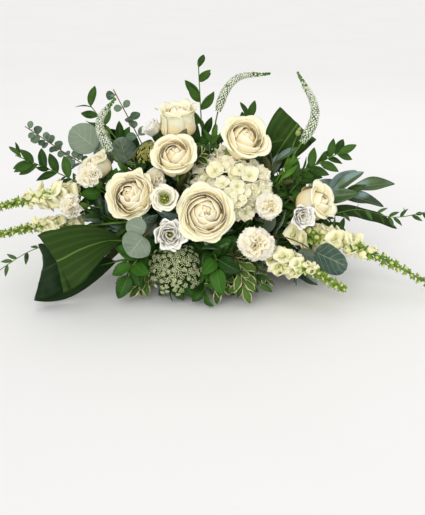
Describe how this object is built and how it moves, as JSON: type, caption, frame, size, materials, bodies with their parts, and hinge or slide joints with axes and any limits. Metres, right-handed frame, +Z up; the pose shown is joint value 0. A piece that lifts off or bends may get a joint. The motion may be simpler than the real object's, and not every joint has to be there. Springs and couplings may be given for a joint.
{
  "type": "side table flower arrangement",
  "caption": "Low, wide, asymmetric flower arrangement of cream and white blooms with mixed trailing foliage, standing in wet foam in a shallow round bowl.",
  "frame": {"origin": "centre of the bowl's foot, on the table", "axes": "+Z up, +X to the right along the arrangement's length as seen from its front, which faces -Y"},
  "size_m": [0.7567, 0.374, 0.396],
  "materials": {
    "rose_petals": "soft matt cream petals with peach folds",
    "hydrangea_florets": "matt creamy white florets with a green tint",
    "carnation_petals": "matt white ruffled petals, creamy towards the middle",
    "lisianthus_petals": "thin satin white petals",
    "snapdragon_florets": "matt white to pale green florets",
    "veronica_florets": "fine white florets with green between",
    "lace_florets": "tiny white-green florets",
    "buds": "matt yellow-green bud",
    "ruscus_leaves": "glossy deep green leaf",
    "gunnii_leaves": "matt grey-green leaf",
    "silver_dollar_leaves": "matt grey-green waxy leaf",
    "salal_leaves": "glossy mid green leaf with pale veins",
    "pittosporum_leaves": "satin green leaf with a cream margin",
    "magnolia_leaves": "glossy dark green leaf with a pale sheen",
    "jasmine_leaves": "satin dark green small leaf",
    "aspidistra_leaves": "glossy deep green strap leaf with fine parallel stripes",
    "bowl": "plain dark green glaze",
    "foam": "matt fine-celled wet floral foam"
  },
  "bodies": {
    "root": {"aspidistra_back": "aspidistra_leaves", "aspidistra_back_left": "aspidistra_leaves", "aspidistra_far_right": "aspidistra_leaves", "aspidistra_left": "aspidistra_leaves", "aspidistra_low_left": "aspidistra_leaves", "aspidistra_right": "aspidistra_leaves", "bowl": "bowl", "bud_left": "buds", "bud_right": "buds", "carnation_high_left": "carnation_petals", "carnation_low_left": "carnation_petals", "carnation_low_right": "carnation_petals", "carnation_middle": "carnation_petals", "carnation_right": "carnation_petals", "foam": "foam", "gunnii_left": "gunnii_leaves", "gunnii_top": "gunnii_leaves", "hydrangea": "hydrangea_florets", "jasmine_left": "jasmine_leaves", "jasmine_right": "jasmine_leaves", "lace_back": "lace_florets", "lace_front": "lace_florets", "lisianthus_front": "lisianthus_petals", "lisianthus_open": "lisianthus_petals", "lisianthus_right": "lisianthus_petals", "lisianthus_top": "lisianthus_petals", "magnolia_right": "magnolia_leaves", "pittosporum_front": "pittosporum_leaves", "pittosporum_left": "pittosporum_leaves", "pittosporum_low": "pittosporum_leaves", "pittosporum_middle": "pittosporum_leaves", "rose_far_left": "rose_petals", "rose_far_right": "rose_petals", "rose_front": "rose_petals", "rose_left": "rose_petals", "rose_middle": "rose_petals", "rose_right": "rose_petals", "rose_top": "rose_petals", "ruscus_back": "ruscus_leaves", "ruscus_high_left": "ruscus_leaves", "ruscus_left": "ruscus_leaves", "ruscus_right": "ruscus_leaves", "ruscus_top": "ruscus_leaves", "salal_back": "salal_leaves", "salal_back_left": "salal_leaves", "salal_back_right": "salal_leaves", "salal_front": "salal_leaves", "salal_front_left": "salal_leaves", "salal_right": "salal_leaves", "silver_dollar_front": "silver_dollar_leaves", "silver_dollar_left": "silver_dollar_leaves", "silver_dollar_right": "silver_dollar_leaves", "snapdragon_front_right": "snapdragon_florets", "snapdragon_long_right": "snapdragon_florets", "snapdragon_lower_left": "snapdragon_florets", "snapdragon_upper_left": "snapdragon_florets", "veronica_left": "veronica_florets", "veronica_middle": "veronica_florets", "veronica_right": "veronica_florets"}
  },
  "joints": []
}
